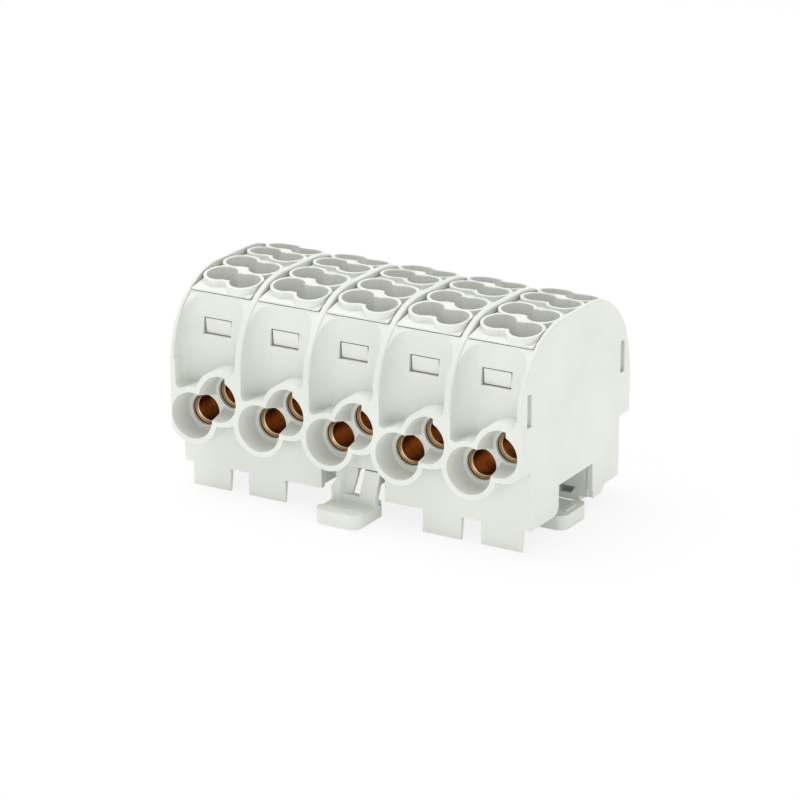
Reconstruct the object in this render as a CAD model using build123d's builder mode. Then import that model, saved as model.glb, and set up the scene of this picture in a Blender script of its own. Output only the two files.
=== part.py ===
from build123d import *
import os

# Five-pole power distribution block for a 35 mm mounting rail. Millimetres.
# X runs along the row of poles, -Y is the wire side with the rail latch, +Z is up.
# The origin is under the middle pole, half way front to back, at the tips of the feet.

# Row of poles
pole_count = 5
pole_pitch = 18.0
cell_width = 16.4
end_wall = 1.0
end_skirt_wall = 1.4

# Front-to-back outline of the ribs between the poles and of the end walls
rib_half_depth = 25.5
crown_height = 49.8
crown_half_flat = 6.5
step_height = 19.2
wall_half_depth = 20.5
skirt_height = 5.3
rib_round = 0.4
overrun = 1.0

# Panels between the ribs: upright at the wires, then leaning in towards the covers
wall = 1.3
panel_wall = 1.2
panel_bend_height = 28.0
panel_top_height = 45.65
panel_top_half_depth = 18.1
cove_radius = 3.5

# Wire funnels, left low and right high on every pole, seen from the front
column_x = (-3.5, 3.9)
bore_height = (18.4, 23.6)
bore_radius = 3.05
funnel_radius = (5.5, 5.4)
funnel_rim = 1.2
throat_radius = (4.85, 4.4)
throat_shift = (0.45, 0.0)
seat_radius = 3.75
seat_lip = 0.8
funnel_shift = (-0.1, 0.3)
funnel_lift = (0.2, 0.1)
web_edge = 1.35
web_mouth_radius = 5.05
web_mouth_shift = (-0.85, -0.55)
rim_blend = 1.1
rim_web_top = 31.5

# Windows for the cover tabs, and the slots in the end walls
window_width = 7.5
window_bottom = 36.4
window_height = 4.0
end_slot_depth = 0.95
end_slot_inner = 20.7
end_slot_width = 2.0
end_slot_bottom = 29.4
end_slot_height = 7.5

# Floor plate that closes the cells from below
floor_thickness = 1.4
floor_top = 13.4
floor_gap = 0.2
lug_length = 6.0
lug_reach = 0.5
lug_height = 1.2

# Feet under the long walls, as inner and outer edges from the middle
front_foot_spans = ((18.0, 27.8), (32.8, 42.9))
back_foot_spans = ((18.0, 27.8), (32.8, 40.6))
foot_thin = 0.5

# Latch openings in the front wall and in the right end wall
front_notch_half = 8.3
end_notch_half = 8.0
notch_top = 12.0
notch_corner = 2.0
nub_inner = 8.4
nub_outer = 12.0
nub_ramp = 2.0
nub_drop = 1.7

# Covers
cover_width = 15.8
cover_half_depth = 18.0
cover_seam = 0.2
cover_lip = 0.35
cover_crown = 48.5
cover_plate = 1.3
cover_shelf = 1.5
rim_crown = 49.6
rim_curve = 90.0
rim_width = 0.7
well_radius = 3.6
well_neck = 4.2
well_stagger = 0.95
well_rows = (-12.9, -5.0, 5.0, 12.9)
tube_bottom = 39.0
tube_half_depth = 16.6
tab_width = 6.8
tab_wall = 1.1
tab_gap = 0.2
nose_gap = 0.25
nose_recess_top = 0.15
nose_recess_bottom = 0.95

# Brass terminal bodies
body_left = 7.7
body_right = 7.9
body_half_length = 18.9
screw_cover = 6.6
body_corner = 0.8
bore_chamfer = 0.55

# Clamp screws, parked clear of the bores
screw_radius = 2.95
thread_clearance = 0.05
screw_length = 7.2
screw_park_gap = 0.45
screw_point = 0.6
slot_width = 1.0
slot_depth = 1.4

# Rail latches
latch_half_width = 5.7
latch_bottom = 0.3
jaw_top = 3.2
lip_top = 3.7
lip_length = 3.2
grip_half_length = 2.4
grip_width = 0.6
grip_height = 0.35
grip_setback = 1.5
tongue_corner = 2.4
jaw_start = 15.8
jaw_half_width = 4.4
bar_start = 17.7
post_wall = 1.6
post_top = 11.7
post_flare = 1.4
post_low_side = 5.1
post_shoulder = 6.5
post_neck = 8.5
post_neck_half = 4.2
channel_radius = 2.6
channel_x = -0.65
channel_depth = 1.0
column_radius = 0.75
column_reach = 0.4
slit_top = (1.35, 3.3)
slit_bottom = (-0.7, 1.5)
slit_bottom_height = 5.1
arm_outer = 4.2
arm_width = 2.0
arm_height = 2.4
arm_length = 12.0
arm_bridge = 1.5
front_latch_face = 20.5
front_tongue_end = 28.4
side_latch_face = 30.0
side_tongue_end = 45.4
guide_gap = 0.3
guide_wall = 1.2
guide_lip = 1.3
guide_lip_height = 1.1
rail_half_width = 17.5
rail_gap = 0.4
hook_wall = 1.3
hook_top = 4.0
hook_reach = 1.7
hook_nose = 1.0
hook_bottom = 1.2
hook_half_width = 5.0

# Walls of the latch tunnels under the floor plate
tunnel_wall = 1.2
tunnel_bottom = 6.0
front_tunnel_start = 13.0
side_tunnel_start = 36.0
block_thickness = 3.0
block_bottom = 2.4
block_step_start = 42.0
block_step_bottom = 3.6
pocket_depth = 2.4
pocket_top = (36.9, 40.8)
pocket_bottom = (36.9, 39.7)
pocket_height = (3.9, 5.6)

pole_x = [(i - (pole_count - 1) / 2) * pole_pitch for i in range(pole_count)]
block_half_width = pole_x[-1] + cell_width / 2 + end_wall
partition = pole_pitch - cell_width
floor_bottom = floor_top - floor_thickness
cover_edge_bottom = panel_top_height + cover_seam
cover_edge_top = cover_edge_bottom + cover_lip
shoulder_radius = rib_half_depth - crown_half_flat
throat_half_depth = wall_half_depth - wall + seat_lip


def front_plane(half_depth):
    """Upright plane facing the front, with local x along the row and local y up."""
    return Plane(origin=(0, -half_depth, 0), x_dir=(1, 0, 0), z_dir=(0, -1, 0))


def rib_outline(bottom, inset):
    """Outline of a rib: flat crown, round shoulders, and the step in to the lower walls."""
    shoulder = crown_height - shoulder_radius
    crown = crown_height - inset
    half = rib_half_depth - inset
    for side in (-1, 1):
        Line((0, crown), (side * crown_half_flat, crown))
        TangentArc(
            (side * crown_half_flat, crown),
            (side * half, shoulder),
            tangent=(side, 0),
        )
        Polyline(
            (side * half, shoulder),
            (side * half, step_height),
            (side * wall_half_depth, step_height),
            (side * wall_half_depth, bottom),
            (0, bottom),
        )


def panel_outline(inset, top_inset, bottom, top):
    """Outline between the front and back panels, inset from their outer faces."""
    half = wall_half_depth - inset
    half_top = panel_top_half_depth - top_inset
    for side in (-1, 1):
        Polyline((0, bottom), (side * half, bottom), (side * half, panel_bend_height))
        TangentArc(
            (side * half, panel_bend_height),
            (side * half_top, panel_top_height),
            tangent=(0, 1),
        )
        if top > panel_top_height:
            Line((side * half_top, panel_top_height), (side * half_top, top))
        Line((side * half_top, top), (0, top))


def panel_half_depth(height):
    """Half depth of the outer face of the panels at a height above their bend."""
    lean = wall_half_depth - panel_top_half_depth
    rise = panel_top_height - panel_bend_height
    curve = (rise**2 + lean**2) / (2 * lean)
    return wall_half_depth - curve + (curve**2 - (height - panel_bend_height) ** 2) ** 0.5


def make_rib(label, width, bottom, outer_side):
    """One rib or end wall, rounded along its rim, standing on the plane X = 0."""
    with BuildPart() as rib:
        with BuildSketch(Plane.YZ.offset(-width / 2)):
            with BuildLine():
                rib_outline(bottom, 0)
            make_face()
        extrude(amount=width)
        rim = rib.edges().filter_by(
            lambda e: e.center().Z > step_height
            and abs(abs(e.center().X) - width / 2) < rib_round / 10
        )
        if outer_side:
            rim = rim.filter_by(lambda e: e.center().X * outer_side > 0)
        fillet(rim, radius=rib_round)
    rib.part.label = label
    return rib.part


def make_bay():
    """Room in front of the panel of one pole, and behind the back one, with round inner corners."""
    top = (panel_half_depth(crown_height), crown_height)
    with BuildPart() as bay:
        with BuildSketch(Plane.YZ.offset(-cell_width / 2)):
            with BuildLine():
                Polyline(
                    (wall_half_depth, panel_bend_height),
                    (wall_half_depth, floor_top),
                    (rib_half_depth + overrun, floor_top),
                    (rib_half_depth + overrun, crown_height),
                    top,
                )
                TangentArc((wall_half_depth, panel_bend_height), top, tangent=(0, 1))
            make_face()
        extrude(amount=cell_width)
        corners = bay.edges().filter_by(
            lambda e: abs(abs(e.center().X) - cell_width / 2) < rib_round / 10
            and e.center().Y < wall_half_depth + rib_round / 10
        )
        fillet(corners, radius=cove_radius)
        mirror(about=Plane.XZ)
    return bay.part


def make_coves():
    """Solid of one pole between its ribs, with coves from the ribs to the panels."""
    with BuildPart() as coves:
        with BuildSketch(Plane.YZ.offset(-cell_width / 2)):
            with BuildLine():
                rib_outline(floor_top, rib_round)
            make_face()
            with Locations((0, (step_height + panel_top_height) / 2)):
                Rectangle(2 * rib_half_depth, panel_top_height - step_height, mode=Mode.INTERSECT)
        extrude(amount=cell_width)
        add(make_bay(), mode=Mode.SUBTRACT)
    return coves.part


def funnel_discs():
    """Outside of all wire funnels in the front view; the high ones end at the rib beside them."""
    rib_side = (pole_pitch + partition) / 2 - rib_round
    with BuildSketch() as discs:
        for x in pole_x:
            outer = funnel_radius[1] + funnel_rim
            with Locations((x + column_x[1] + funnel_shift[1], bore_height[1] + funnel_lift[1])):
                Circle(outer)
            with Locations((x + rib_side + outer / 2, bore_height[1])):
                Rectangle(outer, 2 * outer, mode=Mode.SUBTRACT)
        for x in pole_x:
            with Locations((x + column_x[0] + funnel_shift[0], bore_height[0] + funnel_lift[0])):
                Circle(funnel_radius[0] + funnel_rim)
    return discs.sketch


def make_funnels(rib_x):
    """Outside of the wire funnels, front and back, blended into each other and into the ribs."""
    with BuildPart() as funnels:
        with BuildSketch(front_plane(wall_half_depth - wall)) as outline:
            add(funnel_discs())
            for x in rib_x:
                with Locations((x, (step_height + rim_web_top) / 2)):
                    Rectangle(partition, rim_web_top - step_height)
            creases = outline.vertices().filter_by(
                lambda v: abs(v.X) < block_half_width - end_wall / 2
                and step_height < v.Y < rim_web_top - rib_round
            )
            fillet(creases, radius=rim_blend)
        extrude(amount=rib_half_depth - wall_half_depth + wall)
        with BuildSketch(Plane.XY.offset(skirt_height)):
            Rectangle(2 * block_half_width, 2 * rib_half_depth)
        extrude(amount=crown_height, mode=Mode.INTERSECT)
        mirror(about=Plane.XZ)
    return funnels.part


def make_mouths():
    """Room inside the wire funnels: a tapering mouth, then a round seat round the bore."""
    with BuildPart() as mouths:
        for x in pole_x:
            left, right = [
                (x + column_x[i] + funnel_shift[i], bore_height[i] + funnel_lift[i]) for i in (0, 1)
            ]
            web = (right[0] + web_mouth_shift[0], right[1] + web_mouth_shift[1])
            rims = ((left, funnel_radius[0], 0), (web, web_mouth_radius, 1))
            for centre, radius, i in rims:
                with BuildSketch(front_plane(rib_half_depth)):
                    with Locations(centre):
                        Circle(radius)
                with BuildSketch(front_plane(throat_half_depth)):
                    with Locations((x + column_x[i] + throat_shift[i], bore_height[i])):
                        Circle(throat_radius[i])
                loft()

            # The upper left part of the right mouth is wider than its web side
            for half_depth, radius in (
                (rib_half_depth, funnel_radius[1]),
                (throat_half_depth, throat_radius[1]),
            ):
                with BuildSketch(front_plane(half_depth)):
                    with Locations(right):
                        Circle(radius)
                    with Locations((right[0] + web_edge + radius, right[1])):
                        Rectangle(2 * radius, 2 * radius, mode=Mode.SUBTRACT)
            loft()
            for i in (0, 1):
                with BuildSketch(front_plane(throat_half_depth)):
                    with Locations((x + column_x[i], bore_height[i])):
                        Circle(seat_radius)
                extrude(amount=-seat_lip - overrun)
        mirror(about=Plane.XZ)
    return mouths.part


def make_housing(ribs, coves, funnels, mouths):
    """One-piece moulding: lower walls, ribs, panels, funnels and feet."""
    inner_half_width = block_half_width - end_skirt_wall
    inner_half_depth = wall_half_depth - wall
    with BuildPart() as housing:
        with BuildSketch(Plane.YZ.offset(-block_half_width + rib_round)):
            with BuildLine():
                panel_outline(0, 0, skirt_height, panel_top_height)
            make_face()
        extrude(amount=2 * (block_half_width - rib_round))
        for x in pole_x:
            with Locations((x, 0, 0)):
                add(coves)
        for rib, x in ribs:
            with Locations((x, 0, 0)):
                add(rib)
        add(funnels)

        # Cells, open above for the covers and below for the floor plate
        for x in pole_x:
            with BuildSketch(Plane.YZ.offset(x - cell_width / 2)):
                with BuildLine():
                    panel_outline(wall, panel_wall, floor_top - overrun, crown_height + overrun)
                make_face()
            extrude(amount=cell_width, mode=Mode.SUBTRACT)
        with BuildSketch(Plane.XY.offset(floor_top)):
            Rectangle(2 * inner_half_width, 2 * inner_half_depth)
        extrude(amount=-floor_top, mode=Mode.SUBTRACT)
        add(mouths, mode=Mode.SUBTRACT)

        # Windows for the cover tabs
        with BuildSketch(front_plane(rib_half_depth)):
            for x in pole_x:
                with Locations((x, window_bottom + window_height / 2)):
                    Rectangle(window_width, window_height)
        extrude(amount=-2 * rib_half_depth, mode=Mode.SUBTRACT)

        # Blind slots in the end walls, at the front and at the back
        for side in (-1, 1):
            with BuildSketch(Plane.YZ.offset(side * block_half_width)):
                for end in (-1, 1):
                    with Locations(
                        (
                            end * (end_slot_inner + end_slot_width / 2),
                            end_slot_bottom + end_slot_height / 2,
                        )
                    ):
                        Rectangle(end_slot_width, end_slot_height)
            extrude(amount=-side * end_slot_depth, mode=Mode.SUBTRACT)

        # Feet: parts of the long walls that reach past the rail, thinner at the tip
        foot_profile = (
            (0, skirt_height),
            (0, 0),
            (foot_thin, 0),
            (wall, skirt_height),
            (wall, skirt_height + wall),
            (0, skirt_height + wall),
        )
        for side in (-1, 1):
            for wall_side, foot_spans in ((-1, front_foot_spans), (1, back_foot_spans)):
                for inner, outer in foot_spans:
                    with BuildSketch(Plane.YZ.offset(side * inner)):
                        with BuildLine():
                            Polyline(
                                *[(wall_side * (wall_half_depth - u), v) for u, v in foot_profile],
                                close=True,
                            )
                        make_face()
                    extrude(amount=side * (outer - inner))

        # Openings for the two rail latches
        with BuildSketch(front_plane(wall_half_depth)):
            with Locations((0, notch_top / 2)):
                Rectangle(2 * front_notch_half, notch_top)
        extrude(amount=-wall, mode=Mode.SUBTRACT)
        with BuildSketch(Plane.YZ.offset(block_half_width)):
            with BuildLine():
                Polyline(
                    (-end_notch_half - notch_corner, 0),
                    (-end_notch_half - notch_corner, skirt_height),
                )
                TangentArc(
                    (-end_notch_half - notch_corner, skirt_height),
                    (-end_notch_half, skirt_height + notch_corner),
                    tangent=(1, 0),
                )
                Polyline(
                    (-end_notch_half, skirt_height + notch_corner),
                    (-end_notch_half, notch_top),
                    (end_notch_half, notch_top),
                    (end_notch_half, 0),
                    (-end_notch_half - notch_corner, 0),
                )
            make_face()
        extrude(amount=-end_skirt_wall, mode=Mode.SUBTRACT)

        # Centring nub that dips into the channel of the rail
        with BuildSketch(Plane.YZ.offset(block_half_width)):
            with BuildLine():
                Polyline(
                    (nub_inner, skirt_height + wall),
                    (nub_inner, skirt_height - nub_drop),
                    (nub_outer, skirt_height - nub_drop),
                    (nub_outer + nub_ramp, skirt_height),
                    (nub_outer + nub_ramp, skirt_height + wall),
                    close=True,
                )
            make_face()
        extrude(amount=-end_skirt_wall)

        # Snap lugs that carry the floor plate, on both sides of the latch opening
        for x in [x for x in pole_x if abs(x) > front_notch_half]:
            with BuildSketch(Plane.YZ.offset(x - lug_length / 2)):
                for side in (-1, 1):
                    with BuildLine():
                        Polyline(
                            (side * inner_half_depth, floor_bottom),
                            (side * (inner_half_depth - lug_reach), floor_bottom),
                            (side * inner_half_depth, floor_bottom - lug_height),
                            close=True,
                        )
                    make_face()
            extrude(amount=lug_length)
    housing.part.label = "housing"
    return housing.part


def make_guide_track(base, start, end):
    """Two L-shaped rails that carry the arms of a latch, between two distances out."""
    lip_bottom = post_top - arm_height - guide_gap - guide_lip_height
    inner = arm_outer + guide_gap
    with BuildPart() as track:
        for side in (-1, 1):
            with BuildSketch(base.offset(lip_bottom)):
                with Locations((side * (inner + guide_wall / 2), -(start + end) / 2)):
                    Rectangle(guide_wall, end - start)
            extrude(amount=floor_bottom - lip_bottom)
            with BuildSketch(base.offset(lip_bottom)):
                with Locations((side * (inner - guide_lip / 2), -(start + end) / 2)):
                    Rectangle(guide_lip, end - start)
            extrude(amount=guide_lip_height)
    return track.part


def make_fixed_hook(base):
    """Hook that grips the edge of the rail opposite a latch."""
    face = rail_half_width + rail_gap
    with BuildPart() as hook:
        with BuildSketch(Plane(origin=base.origin, x_dir=base.y_dir, z_dir=base.x_dir)):
            with BuildLine():
                Polyline(
                    (face, floor_bottom),
                    (face, hook_top),
                    (face - hook_reach, hook_top),
                    (face - hook_reach, hook_top - hook_nose),
                    (face, hook_bottom),
                    (face + hook_wall, hook_bottom),
                    (face + hook_wall, floor_bottom),
                    close=True,
                )
            make_face()
        extrude(amount=hook_half_width, both=True)
    return hook.part


def make_tunnel(base, half_width, start, end):
    """Two walls that close the space beside a latch, between two distances out."""
    with BuildPart() as tunnel:
        with BuildSketch(base.offset(tunnel_bottom)):
            for side in (-1, 1):
                with Locations((side * (half_width + tunnel_wall / 2), -(start + end) / 2)):
                    Rectangle(tunnel_wall, end - start)
        extrude(amount=floor_bottom - tunnel_bottom)
    return tunnel.part


def make_pocket_block(end):
    """Thicker block on the back wall of the side tunnel, with a blind pocket towards the latch."""
    face = front_plane(-end_notch_half)
    with BuildPart() as block:
        with BuildSketch(face):
            with BuildLine():
                Polyline(
                    (side_tunnel_start, floor_bottom),
                    (end, floor_bottom),
                    (end, block_step_bottom),
                    (block_step_start, block_step_bottom),
                    (block_step_start, block_bottom),
                    (side_tunnel_start, block_bottom),
                    close=True,
                )
            make_face()
        extrude(amount=-block_thickness)
        with BuildSketch(face):
            with BuildLine():
                Polyline(
                    (pocket_bottom[0], pocket_height[0]),
                    (pocket_bottom[1], pocket_height[0]),
                    (pocket_top[1], pocket_height[1]),
                    (pocket_top[0], pocket_height[1]),
                    close=True,
                )
            make_face()
        extrude(amount=-pocket_depth, mode=Mode.SUBTRACT)
    return block.part


def make_floor_plate():
    """Plate that closes the cells from below, guides both latches and hooks the rail."""
    half_width = block_half_width - end_skirt_wall - floor_gap
    half_depth = wall_half_depth - wall - floor_gap
    fittings = []
    for base, face in ((front_base, front_latch_face), (side_base, side_latch_face)):
        track_end = face - post_wall - guide_gap
        fittings.append(make_guide_track(base, track_end - arm_length, track_end))
        fittings.append(make_fixed_hook(base))
    fittings.append(make_tunnel(front_base, front_notch_half, front_tunnel_start, half_depth))
    fittings.append(make_tunnel(side_base, end_notch_half, side_tunnel_start, half_width))
    fittings.append(make_pocket_block(half_width))
    with BuildPart() as plate:
        with BuildSketch(Plane.XY.offset(floor_bottom)):
            Rectangle(2 * half_width, 2 * half_depth)
        extrude(amount=floor_thickness)
        add(fittings)
    plate.part.label = "floor_plate"
    return plate.part


def figure_eight(row, grow):
    """Outline of one pair of screw wells joined by a neck, grown outwards by a rim."""
    left = (column_x[0], row + well_stagger)
    right = (column_x[1], row - well_stagger)
    with Locations(left, right):
        Circle(well_radius + grow)
    with Locations(((left[0] + right[0]) / 2, row)):
        Rectangle(right[0] - left[0], well_neck + 2 * grow)


def make_cover(label, x):
    """Snap-in cover of one pole: arched plate, raised rims round the screw wells, two tabs."""
    with BuildPart() as cover:
        # Rims and tubes of the screw wells, under one shallow arch
        with BuildSketch(Plane.XY.offset(tube_bottom)):
            for row in well_rows:
                figure_eight(row, rim_width)
        extrude(amount=crown_height - tube_bottom)
        with BuildSketch(Plane.YZ.offset(-cover_width / 2)):
            rim_edge = rim_crown - rim_curve + (rim_curve**2 - cover_half_depth**2) ** 0.5
            with BuildLine():
                ThreePointArc(
                    (-cover_half_depth, rim_edge), (0, rim_crown), (cover_half_depth, rim_edge)
                )
                Polyline(
                    (cover_half_depth, rim_edge),
                    (cover_half_depth, cover_edge_bottom),
                    (tube_half_depth, cover_edge_bottom),
                    (tube_half_depth, tube_bottom),
                    (-tube_half_depth, tube_bottom),
                    (-tube_half_depth, cover_edge_bottom),
                    (-cover_half_depth, cover_edge_bottom),
                    (-cover_half_depth, rim_edge),
                )
            make_face()
        extrude(amount=cover_width, mode=Mode.INTERSECT)

        # Arched plate that closes the pole
        with BuildSketch(Plane.YZ.offset(-cover_width / 2)):
            with BuildLine():
                ThreePointArc(
                    (-cover_half_depth, cover_edge_top),
                    (0, cover_crown),
                    (cover_half_depth, cover_edge_top),
                )
                Polyline(
                    (cover_half_depth, cover_edge_top),
                    (cover_half_depth, cover_edge_bottom),
                    (cover_half_depth - cover_shelf, cover_edge_bottom),
                )
                ThreePointArc(
                    (cover_half_depth - cover_shelf, cover_edge_bottom),
                    (0, cover_crown - cover_plate),
                    (cover_shelf - cover_half_depth, cover_edge_bottom),
                )
                Polyline(
                    (cover_shelf - cover_half_depth, cover_edge_bottom),
                    (-cover_half_depth, cover_edge_bottom),
                    (-cover_half_depth, cover_edge_top),
                )
            make_face()
        extrude(amount=cover_width)

        # Screw wells, straight through
        with BuildSketch(Plane.XY.offset(tube_bottom)):
            for row in well_rows:
                figure_eight(row, 0)
        extrude(amount=crown_height - tube_bottom, mode=Mode.SUBTRACT)

        # Tabs behind the panels, with a nose in each window
        top_out = panel_top_half_depth - panel_wall - tab_gap
        nose_top = window_bottom + window_height - nose_gap
        nose_bottom = window_bottom + nose_gap
        out_top = panel_half_depth(nose_top)
        out_bottom = panel_half_depth(nose_bottom)
        for side in (-1, 1):
            outline = (
                (top_out, cover_edge_bottom + cover_lip / 2),
                (out_top - panel_wall - tab_gap, nose_top),
                (out_top - nose_recess_top, nose_top),
                (out_bottom - nose_recess_bottom, nose_bottom),
                (out_bottom - panel_wall - tab_gap - tab_wall, nose_bottom),
                (out_top - panel_wall - tab_gap - tab_wall, nose_top),
                (top_out - tab_wall, cover_edge_bottom + cover_lip / 2),
            )
            with BuildSketch(Plane.YZ.offset(-tab_width / 2)):
                with BuildLine():
                    Polyline(*[(side * u, v) for u, v in outline], close=True)
                make_face()
            extrude(amount=tab_width)
    cover.part.label = label
    return cover.part.moved(Location((x, 0, 0)))


def make_terminal_body(label, x):
    """Brass body of one pole: two through bores for wires and eight tapped holes."""
    tops = [height + bore_radius + screw_cover for height in bore_height]
    step_x = (column_x[0] + column_x[1]) / 2
    with BuildPart() as body:
        with BuildSketch(front_plane(body_half_length)) as outline:
            with BuildLine():
                Polyline(
                    (-body_left, floor_top),
                    (body_right, floor_top),
                    (body_right, tops[1]),
                    (step_x, tops[1]),
                    (step_x, tops[0]),
                    (-body_left, tops[0]),
                    close=True,
                )
            make_face()
            fillet(outline.vertices(), radius=body_corner)
            for column, height in zip(column_x, bore_height):
                with Locations((column, height)):
                    Circle(bore_radius, mode=Mode.SUBTRACT)
        extrude(amount=-2 * body_half_length)
        mouths = body.edges().filter_by(GeomType.CIRCLE)
        chamfer(mouths.filter_by(lambda e: abs(e.radius - bore_radius) < thread_clearance), bore_chamfer)
        for column, height, top, lean in zip(column_x, bore_height, tops, (1, -1)):
            with BuildSketch(Plane.XY.offset(top)):
                with Locations(*[(column, row + lean * well_stagger) for row in well_rows]):
                    Circle(screw_radius + thread_clearance)
            extrude(amount=height - top, mode=Mode.SUBTRACT)
    body.part.label = label
    return body.part.moved(Location((x, 0, 0)))


def make_clamp_screw(label, x, y, bore_top):
    """Slotted clamp screw, with its point just above the bore."""
    base = Plane.XY.offset(bore_top + screw_park_gap)
    with BuildPart() as screw:
        with BuildSketch(base):
            Circle(screw_radius)
        extrude(amount=screw_length)
        chamfer(screw.faces().sort_by(Axis.Z)[0].edges(), length=screw_point)
        with BuildSketch(base.offset(screw_length)):
            Rectangle(2 * screw_radius, slot_width)
        extrude(amount=-slot_depth, mode=Mode.SUBTRACT)
    screw.part.label = label
    return screw.part.moved(Location((x, y, 0)))


def bar_outline(start, end, corner):
    """Outline of a latch bar between two distances out, with round outer corners."""
    for side in (-1, 1):
        edge = side * latch_half_width
        turn = side * (latch_half_width - corner)
        Polyline((0, -start), (edge, -start), (edge, corner - end))
        TangentArc((edge, corner - end), (turn, -end), tangent=(0, -1))
        Line((turn, -end), (0, -end))


def make_latch(label, base, face, tongue_end):
    """Sliding rail latch: jaw under the rail, finger tongue outside, post and guided arms."""
    post_plane = Plane(
        origin=base.from_local_coords((0, -face, 0)), x_dir=base.x_dir, z_dir=-base.y_dir
    )
    with BuildPart() as latch:
        # Jaw and tongue in one bar, with a raised finger lip and a small grip rib on it
        for start, top in ((bar_start, jaw_top), (tongue_end - lip_length, lip_top)):
            with BuildSketch(base.offset(latch_bottom)):
                with BuildLine():
                    bar_outline(start, tongue_end, tongue_corner)
                make_face()
            extrude(amount=top - latch_bottom)
        with BuildSketch(base.offset(lip_top)):
            with Locations((0, grip_setback - tongue_end)):
                SlotOverall(2 * grip_half_length, grip_width)
        extrude(amount=grip_height)
        with BuildSketch(base.offset(latch_bottom)):
            with Locations((0, -(jaw_start + bar_start) / 2)):
                Rectangle(2 * jaw_half_width, bar_start - jaw_start)
        extrude(amount=jaw_top - latch_bottom)

        # Post, narrower at the upper left and flared at the right
        with BuildSketch(post_plane):
            with BuildLine():
                Polyline(
                    (-latch_half_width, latch_bottom),
                    (latch_half_width, latch_bottom),
                    (latch_half_width, post_low_side),
                    (latch_half_width + post_flare, post_top),
                    (-post_neck_half, post_top),
                    (-post_neck_half, post_neck),
                    (-latch_half_width, post_shoulder),
                    close=True,
                )
            make_face()
        extrude(amount=-post_wall)
        with BuildSketch(base.offset(jaw_top)):
            with Locations((column_radius - post_neck_half, column_radius - column_reach - face)):
                Circle(column_radius)
        extrude(amount=post_top - jaw_top)
        with BuildSketch(base.offset(slit_bottom_height)):
            with Locations((channel_x, channel_depth - channel_radius - face)):
                Circle(channel_radius)
        extrude(amount=post_top - slit_bottom_height, mode=Mode.SUBTRACT)
        with BuildSketch(post_plane):
            with BuildLine():
                Polyline(
                    (slit_bottom[0], slit_bottom_height),
                    (slit_bottom[1], slit_bottom_height),
                    (slit_top[1], post_top),
                    (slit_top[0], post_top),
                    close=True,
                )
            make_face()
        extrude(amount=-post_wall, mode=Mode.SUBTRACT)

        # Arms that run in the guides under the floor plate
        arm_start = face - post_wall - arm_length
        for side in (-1, 1):
            with BuildSketch(base.offset(post_top - arm_height)):
                with Locations((side * (arm_outer - arm_width / 2), -arm_start - arm_length / 2)):
                    Rectangle(arm_width, arm_length)
            extrude(amount=arm_height)
        with BuildSketch(base.offset(post_top - arm_height)):
            with Locations((0, -arm_start - arm_bridge / 2)):
                Rectangle(2 * arm_outer, arm_bridge)
        extrude(amount=arm_height)
    latch.part.label = label
    return latch.part


front_base = Plane(origin=(0, 0, 0), x_dir=(1, 0, 0), z_dir=(0, 0, 1))
side_base = Plane(origin=(0, 0, 0), x_dir=(0, 1, 0), z_dir=(0, 0, 1))

inner_rib = make_rib("inner_rib", partition, floor_top, 0)
end_ribs = {side: make_rib("end_rib", end_wall, skirt_height, side) for side in (-1, 1)}
ribs = [(inner_rib, x + pole_pitch / 2) for x in pole_x[:-1]]
ribs += [(end_ribs[side], side * (block_half_width - end_wall / 2)) for side in (-1, 1)]

parts = [
    make_housing(ribs, make_coves(), make_funnels([x for _, x in ribs]), make_mouths()),
    make_floor_plate(),
    make_latch("rail_latch_front", front_base, front_latch_face, front_tongue_end),
    make_latch("rail_latch_side", side_base, side_latch_face, side_tongue_end),
]
for number, x in enumerate(pole_x, start=1):
    parts.append(make_cover(f"cover_{number}", x))
    parts.append(make_terminal_body(f"terminal_body_{number}", x))
    for letter, column, height, lean in zip("ab", column_x, bore_height, (1, -1)):
        for place, row in enumerate(well_rows, start=1):
            screw_label = f"clamp_screw_{number}{letter}{place}"
            screw_y = row + lean * well_stagger
            parts.append(make_clamp_screw(screw_label, x + column, screw_y, height + bore_radius))

os.makedirs("parts", exist_ok=True)
for part in parts:
    export_step(part, f"parts/{part.label}.step")
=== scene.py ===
import math

import bmesh
import bpy
from mathutils import Matrix, Vector


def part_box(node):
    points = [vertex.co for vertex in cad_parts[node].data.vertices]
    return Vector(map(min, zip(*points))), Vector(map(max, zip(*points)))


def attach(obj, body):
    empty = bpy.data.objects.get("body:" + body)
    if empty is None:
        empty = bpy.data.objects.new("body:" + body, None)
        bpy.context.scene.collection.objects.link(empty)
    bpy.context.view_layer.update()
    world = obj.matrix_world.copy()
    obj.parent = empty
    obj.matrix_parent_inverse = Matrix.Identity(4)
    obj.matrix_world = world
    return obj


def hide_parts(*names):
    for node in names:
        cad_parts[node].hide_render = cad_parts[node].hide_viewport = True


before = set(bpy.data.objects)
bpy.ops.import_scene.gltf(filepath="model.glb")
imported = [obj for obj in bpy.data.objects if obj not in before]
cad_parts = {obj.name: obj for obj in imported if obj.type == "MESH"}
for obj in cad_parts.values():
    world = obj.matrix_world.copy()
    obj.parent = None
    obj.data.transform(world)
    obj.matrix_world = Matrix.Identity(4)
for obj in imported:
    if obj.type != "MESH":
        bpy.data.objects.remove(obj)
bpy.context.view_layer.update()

MM = 0.001

# Lamps: name, place, side of the square, power. The key light hangs over the block.
LAMPS = (
    ("key_light", (-0.4, 0.05, 1.45), 1.0, 9.5),
    ("front_light", (-0.55, -0.95, 1.15), 0.9, 1.4),
    ("side_light", (1.15, -0.55, 0.75), 0.9, 1.0),
)
LAMP_TARGET = (0, 0, 0.02)
AMBIENT_STRENGTH = 0.80
SEEN_STRENGTH = 1.0

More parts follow.
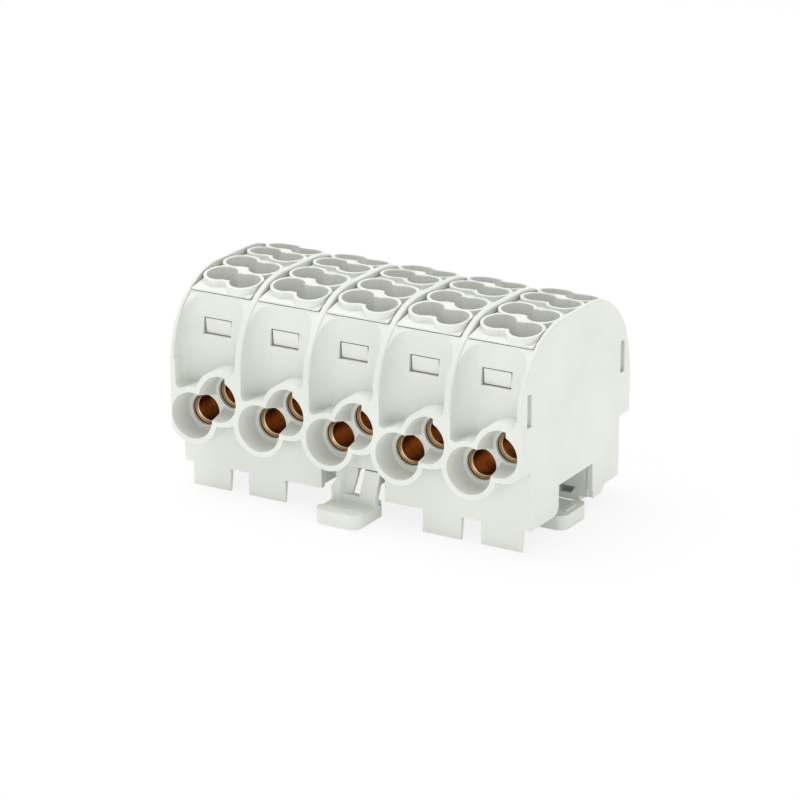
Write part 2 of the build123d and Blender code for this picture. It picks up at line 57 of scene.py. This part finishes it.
FLOOR_HALF = 6.0
FLOOR_DROP = 0.02 * MM
FLOOR_WHITE = 0.86
FLOOR_VEIL = 0.82    # share of plain white that the camera sees over the shadows
FLOOR_GLOW = 0.34    # what the table adds to the light that it throws back

# Distances from the middle plane over which the brass turns to a pale lip, a painted highlight,
# and then to brown faces, painted shade
HIGHLIGHT_LIP_START = (18.25 * MM, 18.36 * MM)
SHADED_FACE_START = (18.46 * MM, 18.60 * MM)

# Covers and side tunnel, in mm
POLES, POLE_PITCH = 5, 18.0
RIM_TOP, RIM_ARCH = 49.59, 202
LAND_FOOT, LAND_ROWS = 46.9, (-8.95, 8.95)
TUNNEL_WEB = (43.5, 8.0, 3.7), (43.86, 9.0, 11.6)


def add_object(name, data):
    made = bpy.data.objects.new(name, data)
    bpy.context.scene.collection.objects.link(made)
    return made


# Camera at the photograph's angle

def make_camera():
    azimuth, elevation, roll = math.radians(30.971), math.radians(19.118), math.radians(-0.357)
    distance, shift_right, shift_up = 737.24 * MM, 0.03 * MM, 20.3 * MM
    back = Vector((
        math.sin(azimuth) * math.cos(elevation),
        -math.cos(azimuth) * math.cos(elevation),
        math.sin(elevation),
    ))
    right = Vector((math.cos(azimuth), math.sin(azimuth), 0))
    up = back.cross(right)
    across = math.cos(roll) * right + math.sin(roll) * up
    upright = math.cos(roll) * up - math.sin(roll) * right
    place = back * distance + right * shift_right + up * shift_up
    data = bpy.data.cameras.new("camera")
    data.sensor_width = 36
    data.lens = 145.14
    data.clip_start, data.clip_end = 0.01, 20
    camera = add_object("camera", data)
    camera.matrix_world = Matrix((
        (across.x, upright.x, back.x, place.x),
        (across.y, upright.y, back.y, place.y),
        (across.z, upright.z, back.z, place.z),
        (0, 0, 0, 1),
    ))
    bpy.context.scene.camera = camera


# Light and floor

def make_lamps():
    for name, place, side, power in LAMPS:
        data = bpy.data.lights.new(name, "AREA")
        data.shape = "RECTANGLE"
        data.size = data.size_y = side
        data.energy = power
        lamp = add_object(name, data)
        lamp.location = place
        lamp.rotation_mode = "QUATERNION"
        aim = Vector(LAMP_TARGET) - Vector(place)
        lamp.rotation_quaternion = aim.to_track_quat("-Z", "Y")


def make_world():
    """Even white light; the camera, mirrors and glass see it at full strength."""
    world = bpy.data.worlds.new("studio")
    bpy.context.scene.world = world
    world.use_nodes = True
    nodes, links = world.node_tree.nodes, world.node_tree.links
    nodes.clear()
    out = nodes.new("ShaderNodeOutputWorld")
    mix = nodes.new("ShaderNodeMixShader")
    for entry, strength in ((1, AMBIENT_STRENGTH), (2, SEEN_STRENGTH)):
        white = nodes.new("ShaderNodeBackground")
        white.inputs["Color"].default_value = (1, 1, 1, 1)
        white.inputs["Strength"].default_value = strength
        links.new(white.outputs[0], mix.inputs[entry])
    path = nodes.new("ShaderNodeLightPath")
    seen = path.outputs["Is Camera Ray"]
    for ray in ("Is Glossy Ray", "Is Transmission Ray"):
        either = nodes.new("ShaderNodeMath")
        either.operation = "MAXIMUM"
        links.new(seen, either.inputs[0])
        links.new(path.outputs[ray], either.inputs[1])
        seen = either.outputs[0]
    links.new(seen, mix.inputs[0])
    links.new(mix.outputs[0], out.inputs[0])


def make_floor():
    """A white table on which the camera sees only a faint shadow."""
    mesh = bpy.data.meshes.new("floor")
    signs = ((-1, -1), (1, -1), (1, 1), (-1, 1))
    mesh.from_pydata([(x * FLOOR_HALF, y * FLOOR_HALF, 0) for x, y in signs], [], [(0, 1, 2, 3)])
    floor = add_object("floor", mesh)
    floor.location.z = -FLOOR_DROP
    material = bpy.data.materials.new("floor_white")
    material.use_nodes = True
    nodes, links = material.node_tree.nodes, material.node_tree.links
    nodes.clear()
    out = nodes.new("ShaderNodeOutputMaterial")
    matt = nodes.new("ShaderNodeBsdfDiffuse")
    matt.inputs["Color"].default_value = (FLOOR_WHITE, FLOOR_WHITE, FLOOR_WHITE, 1)
    white = nodes.new("ShaderNodeEmission")
    white.inputs["Strength"].default_value = 1.0
    veiled = nodes.new("ShaderNodeMixShader")
    veiled.inputs[0].default_value = FLOOR_VEIL
    links.new(matt.outputs[0], veiled.inputs[1])
    links.new(white.outputs[0], veiled.inputs[2])
    glow = nodes.new("ShaderNodeEmission")
    glow.inputs["Strength"].default_value = FLOOR_GLOW
    table = nodes.new("ShaderNodeAddShader")
    links.new(matt.outputs[0], table.inputs[0])
    links.new(glow.outputs[0], table.inputs[1])
    path = nodes.new("ShaderNodeLightPath")
    mix = nodes.new("ShaderNodeMixShader")
    links.new(path.outputs["Is Camera Ray"], mix.inputs[0])
    links.new(table.outputs[0], mix.inputs[1])
    links.new(veiled.outputs[0], mix.inputs[2])
    links.new(mix.outputs[0], out.inputs[0])
    mesh.materials.append(material)


# Materials

class Graph:
    """Small helper for one node material with a Principled shader."""

    def __init__(self, name):
        self.material = bpy.data.materials.new(name)
        self.material.use_nodes = True
        self.nodes = self.material.node_tree.nodes
        self.links = self.material.node_tree.links
        self.shader = self.nodes["Principled BSDF"]
        self.place = self.nodes.new("ShaderNodeTexCoord").outputs["Object"]

    def put(self, socket, value):
        if isinstance(value, bpy.types.NodeSocket):
            self.links.new(value, socket)
        else:
            socket.default_value = value

    def noise(self, scale, detail, rough, place=None):
        node = self.nodes.new("ShaderNodeTexNoise")
        node.inputs["Scale"].default_value = scale
        node.inputs["Detail"].default_value = detail
        node.inputs["Roughness"].default_value = rough
        self.links.new(place or self.place, node.inputs["Vector"])
        return node.outputs["Fac"]

    def spread(self, value, low, high, to_low=0.0, to_high=1.0):
        """The range from low to high, drawn out over to_low to to_high."""
        node = self.nodes.new("ShaderNodeMapRange")
        for socket, v in zip(node.inputs[:5], (value, low, high, to_low, to_high)):
            self.put(socket, v)
        return node.outputs["Result"]

    def math(self, operation, a, b=0.0):
        node = self.nodes.new("ShaderNodeMath")
        node.operation = operation
        self.put(node.inputs[0], a)
        self.put(node.inputs[1], b)
        return node.outputs[0]

    def mix(self, factor, a, b):
        node = self.nodes.new("ShaderNodeMix")
        node.data_type = "RGBA"
        self.put(node.inputs[0], factor)
        self.put(node.inputs[6], a)
        self.put(node.inputs[7], b)
        return node.outputs[2]

    def scaled(self, factors):
        node = self.nodes.new("ShaderNodeMapping")
        node.inputs["Scale"].default_value = factors
        self.links.new(self.place, node.inputs["Vector"])
        return node.outputs["Vector"]

    def distance_from_middle(self):
        """How far a point lies before or behind the middle plane."""
        node = self.nodes.new("ShaderNodeSeparateXYZ")
        self.links.new(self.place, node.inputs[0])
        return self.math("ABSOLUTE", node.outputs["Y"])

    def soft_edges(self, radius):
        node = self.nodes.new("ShaderNodeBevel")
        node.samples = 6
        node.inputs["Radius"].default_value = radius
        return node.outputs["Normal"]

    def edge_mask(self, normal, low, high):
        """1 on rounded edges, 0 on flat ground."""
        true_normal = self.nodes.new("ShaderNodeNewGeometry").outputs["Normal"]
        dot = self.nodes.new("ShaderNodeVectorMath")
        dot.operation = "DOT_PRODUCT"
        self.links.new(normal, dot.inputs[0])
        self.links.new(true_normal, dot.inputs[1])
        return self.spread(dot.outputs["Value"], high, low)

    def hollow_mask(self, distance, low, high):
        """1 deep in corners, 0 in the open."""
        node = self.nodes.new("ShaderNodeAmbientOcclusion")
        node.samples = 6
        node.inputs["Distance"].default_value = distance
        return self.spread(node.outputs["AO"], high, low)

    def bump(self, height, strength, distance, normal):
        node = self.nodes.new("ShaderNodeBump")
        node.inputs["Strength"].default_value = strength
        node.inputs["Distance"].default_value = distance
        self.links.new(height, node.inputs["Height"])
        self.links.new(normal, node.inputs["Normal"])
        return node.outputs["Normal"]


def moulded_plastic(name, base, edge_highlight_and_wear, dirt_and_shade, grain=0.35):
    """Matt moulding with fine grain, faint flow clouds, paler edges that are painted highlight and
    wear, and corners darkened by painted shade with patchy dust.
    """
    g = Graph(name)
    normal = g.soft_edges(0.36 * MM)
    clouds = g.spread(g.noise(45, 4, 0.6), 0.35, 0.65)
    paler = tuple(min(1, c * 1.035) for c in base[:3]) + (1,)
    darker = tuple(c * 0.965 for c in base[:3]) + (1,)
    ground = g.mix(clouds, darker, paler)
    specks = g.spread(g.noise(2600, 2, 0.5), 0.70, 0.78, 0.0, 0.10)
    ground = g.mix(specks, ground, dirt_and_shade)
    # Painted shade with patchy dust: ambient occlusion darkens corners and hollows towards the
    # dark grey
    dust_and_shade_patches = g.spread(g.noise(320, 4, 0.6), 0.2, 0.8, 0.15, 0.5)
    corner_shade_and_dust = g.math("MULTIPLY", g.hollow_mask(3.5 * MM, 0.15, 0.75), dust_and_shade_patches)
    ground = g.mix(corner_shade_and_dust, ground, dirt_and_shade)
    # Painted highlight with patchy wear: rounded edges pale towards the edge colour
    highlight_and_wear_patches = g.spread(g.noise(900, 3, 0.6), 0.3, 0.7, 0.6, 1.0)
    edge_highlight_and_wear_mask = g.math("MULTIPLY", g.edge_mask(normal, 0.90, 0.995), highlight_and_wear_patches)
    ground = g.mix(edge_highlight_and_wear_mask, ground, edge_highlight_and_wear)
    g.put(g.shader.inputs["Base Color"], ground)
    sheen = g.spread(g.noise(160, 5, 0.6), 0.3, 0.7, 0.42, 0.58)
    g.put(g.shader.inputs["Roughness"], sheen)
    g.shader.inputs["IOR"].default_value = 1.53
    g.shader.inputs["Specular IOR Level"].default_value = 0.42
    g.shader.inputs["Subsurface Weight"].default_value = 0.04
    g.shader.inputs["Subsurface Radius"].default_value = (1.0, 0.9, 0.8)
    g.shader.inputs["Subsurface Scale"].default_value = 0.6 * MM
    height = g.mix(0.3, g.noise(1700, 3, 0.6), g.noise(260, 3, 0.5))
    g.put(g.shader.inputs["Normal"], g.bump(height, grain, 0.03 * MM, normal))
    return g.material


def drilled_brass(name):
    """Bright brass with drill marks in stained bores, thin pale lips that are painted highlight,
    brown faces that are painted shade, and painted shade with grime in the hollows.
    """
    g = Graph(name)
    normal = g.soft_edges(0.13 * MM)
    rings = g.noise(1.0, 3, 0.6, g.scaled((40, 5200, 40)))
    stain = g.spread(g.noise(180, 4, 0.6), 0.3, 0.7)
    inside = g.mix(stain, (0.84, 0.50, 0.21, 1), (0.93, 0.61, 0.30, 1))
    # Painted highlight on the thin lip, painted shade on the brown faces
    painted_highlight_lip = g.mix(stain, (0.90, 0.66, 0.38, 1), (0.98, 0.80, 0.54, 1))
    painted_shade_face = g.mix(stain, (0.34, 0.20, 0.10, 1), (0.50, 0.31, 0.16, 1))
    distance = g.distance_from_middle()
    ground = g.mix(g.spread(distance, *HIGHLIGHT_LIP_START), inside, painted_highlight_lip)
    ground = g.mix(g.spread(distance, *SHADED_FACE_START), ground, painted_shade_face)
    # Painted shade with patchy grime: ambient occlusion darkens the hollows towards dark brown
    patchy = g.spread(g.noise(700, 3, 0.6), 0.3, 0.7, 0.1, 0.5)
    hollow_shade_and_grime = g.math("MULTIPLY", g.hollow_mask(1.2 * MM, 0.15, 0.7), patchy)
    ground = g.mix(hollow_shade_and_grime, ground, (0.30, 0.15, 0.06, 1))
    g.put(g.shader.inputs["Base Color"], ground)
    g.shader.inputs["Metallic"].default_value = 1.0
    g.put(g.shader.inputs["Roughness"], g.spread(rings, 0.3, 0.7, 0.20, 0.36))
    g.put(g.shader.inputs["Normal"], g.bump(rings, 0.2, 0.02 * MM, normal))
    return g.material


def plated_steel(name):
    """Zinc-plated steel with a faint bloom and corners darkened by painted shade."""
    g = Graph(name)
    normal = g.soft_edges(0.08 * MM)
    bloom = g.spread(g.noise(420, 4, 0.6), 0.3, 0.7)
    ground = g.mix(bloom, (0.50, 0.50, 0.48, 1), (0.64, 0.63, 0.60, 1))
    # Painted shade: ambient occlusion darkens corners towards near black
    painted_hollow_shade = g.math("MULTIPLY", g.hollow_mask(1.2 * MM, 0.1, 0.7), 0.6)
    ground = g.mix(painted_hollow_shade, ground, (0.16, 0.15, 0.13, 1))
    g.put(g.shader.inputs["Base Color"], ground)
    g.shader.inputs["Metallic"].default_value = 1.0
    sheen = g.spread(g.noise(900, 3, 0.5), 0.3, 0.7, 0.28, 0.46)
    g.put(g.shader.inputs["Roughness"], sheen)
    g.put(g.shader.inputs["Normal"], g.bump(g.noise(2400, 2, 0.5), 0.2, 0.02 * MM, normal))
    return g.material


def dress():
    """Lays the materials on the CAD pieces and adds the pieces made here."""
    # Pale colour for the painted highlight and wear on edges; dark grey for dirt specks and the
    # painted shade in corners
    edge_highlight_and_wear, dirt_and_shade = (0.95, 0.96, 0.93, 1), (0.44, 0.44, 0.40, 1)
    # A softer painted highlight with wear on the latch edges
    latch_edge_highlight_and_wear = (0.84, 0.85, 0.82, 1)
    housing = moulded_plastic("housing_grey", (0.700, 0.722, 0.672, 1), edge_highlight_and_wear, dirt_and_shade)
    cover = moulded_plastic("cover_grey", (0.745, 0.765, 0.715, 1), edge_highlight_and_wear, dirt_and_shade)
    latch = moulded_plastic("latch_grey", (0.71, 0.73, 0.68, 1), latch_edge_highlight_and_wear, dirt_and_shade, 0.25)
    plate = moulded_plastic("floor_grey", (0.68, 0.695, 0.67, 1), edge_highlight_and_wear, dirt_and_shade)
    brass = drilled_brass("brass_bright")
    steel = plated_steel("steel_plated")
    kinds = (
        ("housing", housing), ("cover_", cover), ("rail_latch", latch), ("floor_plate", plate),
        ("terminal_body", brass), ("clamp_screw", steel),
    )
    for name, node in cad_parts.items():
        for start, material in kinds:
            if name.startswith(start):
                for slot in node.material_slots:
                    slot.material = material
    make_screws(steel)
    make_lands(cover)
    make_tunnel_seam(plate)


# Clamp screws with their threads and slots

def screw_mesh(material):
    """A slotted grub screw standing on z = 0, with its thread running up from a bevelled point."""
    radius, root, pitch, length = 2.95, 2.50, 1.0, 7.2
    point, top_break, around = 0.6, 0.25, 40
    slot_half, slot_depth, past_the_rim, past_the_top = 0.5, 1.4, 4, 1
    weld, sliver = 0.004 * MM, 0.002 * MM
    profile = ((0.0, root), (0.12, root), (0.46, radius), (0.60, radius), (0.94, root))
    turns = int(length / pitch) + 2
    bm = bmesh.new()
    columns = []
    for i in range(around):
        angle = math.tau * i / around
        column = []
        for turn in range(-1, turns):
            for share, r in profile:
                z = (turn + share + i / around) * pitch
                held = min(max(z, 0.0), length)
                limit = min(radius - point + held, radius - top_break + (length - held))
                r = min(r, limit) if 0 < z < length else min(root, limit)
                column.append(bm.verts.new((
                    r * math.cos(angle) * MM, r * math.sin(angle) * MM, held * MM,
                )))
        columns.append(column)
    # The last column meets the first one a whole turn higher up
    for i in range(around):
        a, b = columns[i], columns[(i + 1) % around]
        shift = len(profile) if i == around - 1 else 0
        for k in range(min(len(a) - 1, len(b) - 1 - shift)):
            bm.faces.new((a[k], b[k + shift], b[k + 1 + shift], a[k + 1]))
    bmesh.ops.remove_doubles(bm, verts=bm.verts, dist=weld)
    bmesh.ops.dissolve_degenerate(bm, dist=sliver, edges=bm.edges)
    bmesh.ops.holes_fill(bm, edges=bm.edges, sides=0)
    bmesh.ops.recalc_face_normals(bm, faces=bm.faces)
    plain = bpy.data.meshes.new("screw_plain")
    bm.to_mesh(plain)
    bm.free()
    body = add_object("screw_plain", plain)
    bar = add_object("slot_cutter", box_mesh(
        "slot_cutter",
        (-past_the_rim, -slot_half, length - slot_depth),
        (past_the_rim, slot_half, length + past_the_top),
    ))
    cut = body.modifiers.new("slot", "BOOLEAN")
    cut.operation, cut.solver, cut.object = "DIFFERENCE", "EXACT", bar
    slotted = body.evaluated_get(bpy.context.evaluated_depsgraph_get())
    mesh = bpy.data.meshes.new_from_object(slotted)
    mesh.name = "screw_thread"
    for helper in (body, bar):
        bpy.data.objects.remove(helper)
    mesh.materials.clear()
    mesh.materials.append(material)
    return mesh


def box_mesh(name, low, high):
    """A box between two corners given in mm."""
    mesh = bpy.data.meshes.new(name)
    bm = bmesh.new()
    corner_shade_and_dust = [
        bm.verts.new([MM * (high if (k >> axis) & 1 else low)[axis] for axis in range(3)])
        for k in range(8)
    ]
    quads = (0, 2, 3, 1), (4, 5, 7, 6), (0, 1, 5, 4), (2, 6, 7, 3), (0, 4, 6, 2), (1, 3, 7, 5)
    for quad in quads:
        bm.faces.new([corner_shade_and_dust[k] for k in quad])
    bm.to_mesh(mesh)
    bm.free()
    return mesh


def make_screws(material):
    """One threaded screw in the place of every plain one."""
    mesh = screw_mesh(material)
    for name in sorted(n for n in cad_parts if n.startswith("clamp_screw_")):
        low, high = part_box(name)
        screw = add_object(name.replace("clamp_screw", "threaded_screw"), mesh)
        screw.location = ((low.x + high.x) / 2, (low.y + high.y) / 2, low.z)
        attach(screw, name.replace("clamp_screw", "screw"))
        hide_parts(name)


# Small forms of the covers and the side tunnel

def crown(y):
    """Height of the arched rims at a distance from the middle plane."""
    return RIM_TOP - y * y / RIM_ARCH


def prism(bm, outline, low, top):
    """An upright prism over an outline that runs anticlockwise, from low up to top(y)."""
    foot = [bm.verts.new((x * MM, y * MM, low * MM)) for x, y in outline]
    head = [bm.verts.new((x * MM, y * MM, top(y) * MM)) for x, y in outline]
    bm.faces.new(foot[::-1])
    bm.faces.new(head)
    for i in range(len(outline)):
        j = (i + 1) % len(outline)
        bm.faces.new((foot[i], foot[j], head[j], head[i]))


def land_outline(x, y):
    """The flat land between the necks of two wells and their four round rims."""
    reach, left_rim, right_rim, rims_below = 4.05, -3.5, 3.9, 3.0
    rises = 0.5, 0.0, -0.6
    spans = [math.sqrt(reach ** 2 - (rims_below + rise) ** 2) for rise in rises]
    left = [(left_rim + span, rise) for span, rise in zip(spans, rises)]
    right = [(right_rim - span, -rise) for span, rise in zip(spans, rises)]
    front = [(0.25, -1.4), (1.85, -1.4), (2.45, -1.0)]
    back = [(0.15, 1.4), (-1.45, 1.4), (-2.05, 1.0)]
    points = back[-1:] + left + front + right + back[:-1]
    return [(x + u, y + v) for u, v in points]


def make_lands(material):
    """The lands of all covers, in two rows."""
    bm = bmesh.new()
    for pole in range(POLES):
        for y in LAND_ROWS:
            prism(bm, land_outline((pole - POLES // 2) * POLE_PITCH, y), LAND_FOOT, crown)
    mesh = bpy.data.meshes.new("rim_lands")
    bm.to_mesh(mesh)
    bm.free()
    mesh.materials.append(material)
    lands = add_object("rim_lands", mesh)
    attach(lands, "block")


def make_tunnel_seam(material):
    """Thin web that closes the seam between the side tunnel's back wall and the end wall."""
    mesh = box_mesh("tunnel_web", *TUNNEL_WEB)
    mesh.materials.append(material)
    web = add_object("tunnel_web", mesh)
    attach(web, "block")


bpy.context.scene.view_settings.view_transform = "Standard"
make_camera()
make_world()
make_floor()
make_lamps()
dress()
